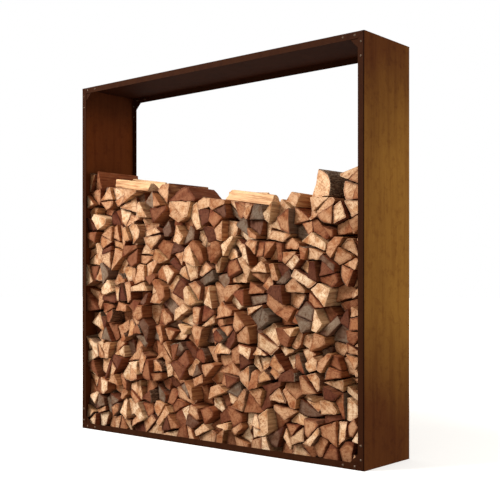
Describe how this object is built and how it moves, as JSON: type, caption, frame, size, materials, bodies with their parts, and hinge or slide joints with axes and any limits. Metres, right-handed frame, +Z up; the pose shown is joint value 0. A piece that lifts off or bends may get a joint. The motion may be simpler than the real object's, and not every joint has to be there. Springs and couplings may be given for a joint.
{
  "type": "firewood log rack",
  "caption": "Tall open-front and open-back box rack of folded weathering steel, bolted at its corners and loaded with split firewood.",
  "frame": {"origin": "middle of the rack's footprint, on the floor", "axes": "+X to the right along the width as seen from the front, +Y towards the back, +Z up"},
  "size_m": [1.8, 0.3758, 1.83],
  "materials": {
    "corten_steel": "matt, evenly rusted weathering steel with vertical run marks",
    "fastener_steel": "dulled steel, lightly rusted",
    "firewood": "raw split wood of an unknown species, sawn ends, some bark"
  },
  "bodies": {
    "rack": {"bottom_panel": "corten_steel", "top_panel": "corten_steel", "left_panel": "corten_steel", "right_panel": "corten_steel", "plate_front_bottom_left": "corten_steel", "plate_front_bottom_right": "corten_steel", "plate_front_top_left": "corten_steel", "plate_front_top_right": "corten_steel", "plate_rear_bottom_left": "corten_steel", "plate_rear_bottom_right": "corten_steel", "plate_rear_top_left": "corten_steel", "plate_rear_top_right": "corten_steel", "screws_front_bottom_left": "fastener_steel", "screws_front_bottom_right": "fastener_steel", "screws_front_top_left": "fastener_steel", "screws_front_top_right": "fastener_steel", "screws_rear_bottom_left": "fastener_steel", "screws_rear_bottom_right": "fastener_steel", "screws_rear_top_left": "fastener_steel", "screws_rear_top_right": "fastener_steel", "nuts_front_bottom_left": "fastener_steel", "nuts_front_bottom_right": "fastener_steel", "nuts_front_top_left": "fastener_steel", "nuts_front_top_right": "fastener_steel", "nuts_rear_bottom_left": "fastener_steel", "nuts_rear_bottom_right": "fastener_steel", "nuts_rear_top_left": "fastener_steel", "nuts_rear_top_right": "fastener_steel", "log_course_01": "firewood", "log_course_02": "firewood", "log_course_03": "firewood", "log_course_04": "firewood", "log_course_05": "firewood", "log_course_06": "firewood", "log_course_07": "firewood", "log_course_08": "firewood", "log_course_09": "firewood", "log_course_10": "firewood", "log_course_11": "firewood", "log_course_12": "firewood", "log_course_13": "firewood", "log_course_14": "firewood"},
    "lifting_log_1": {"loose_log_1": "firewood"},
    "lifting_log_2": {"loose_log_2": "firewood"},
    "lifting_log_3": {"loose_log_3": "firewood"},
    "lifting_log_4": {"loose_log_4": "firewood"},
    "lifting_log_5": {"loose_log_5": "firewood"},
    "lifting_log_6": {"loose_log_6": "firewood"},
    "lifting_log_7": {"loose_log_7": "firewood"}
  },
  "joints": [
    {"name": "log_1_lift", "type": "slide", "parent": "rack", "child": "lifting_log_1", "axis": [0, 0, 1], "range_m": [0, 0.3]},
    {"name": "log_2_lift", "type": "slide", "parent": "rack", "child": "lifting_log_2", "axis": [0, 0, 1], "range_m": [0, 0.3]},
    {"name": "log_3_lift", "type": "slide", "parent": "rack", "child": "lifting_log_3", "axis": [0, 0, 1], "range_m": [0, 0.3]},
    {"name": "log_4_lift", "type": "slide", "parent": "rack", "child": "lifting_log_4", "axis": [0, 0, 1], "range_m": [0, 0.3]},
    {"name": "log_5_lift", "type": "slide", "parent": "rack", "child": "lifting_log_5", "axis": [0, 0, 1], "range_m": [0, 0.3]},
    {"name": "log_6_lift", "type": "slide", "parent": "rack", "child": "lifting_log_6", "axis": [0, 0, 1], "range_m": [0, 0.3]},
    {"name": "log_7_lift", "type": "slide", "parent": "rack", "child": "lifting_log_7", "axis": [0, 0, 1], "range_m": [0, 0.3]}
  ]
}
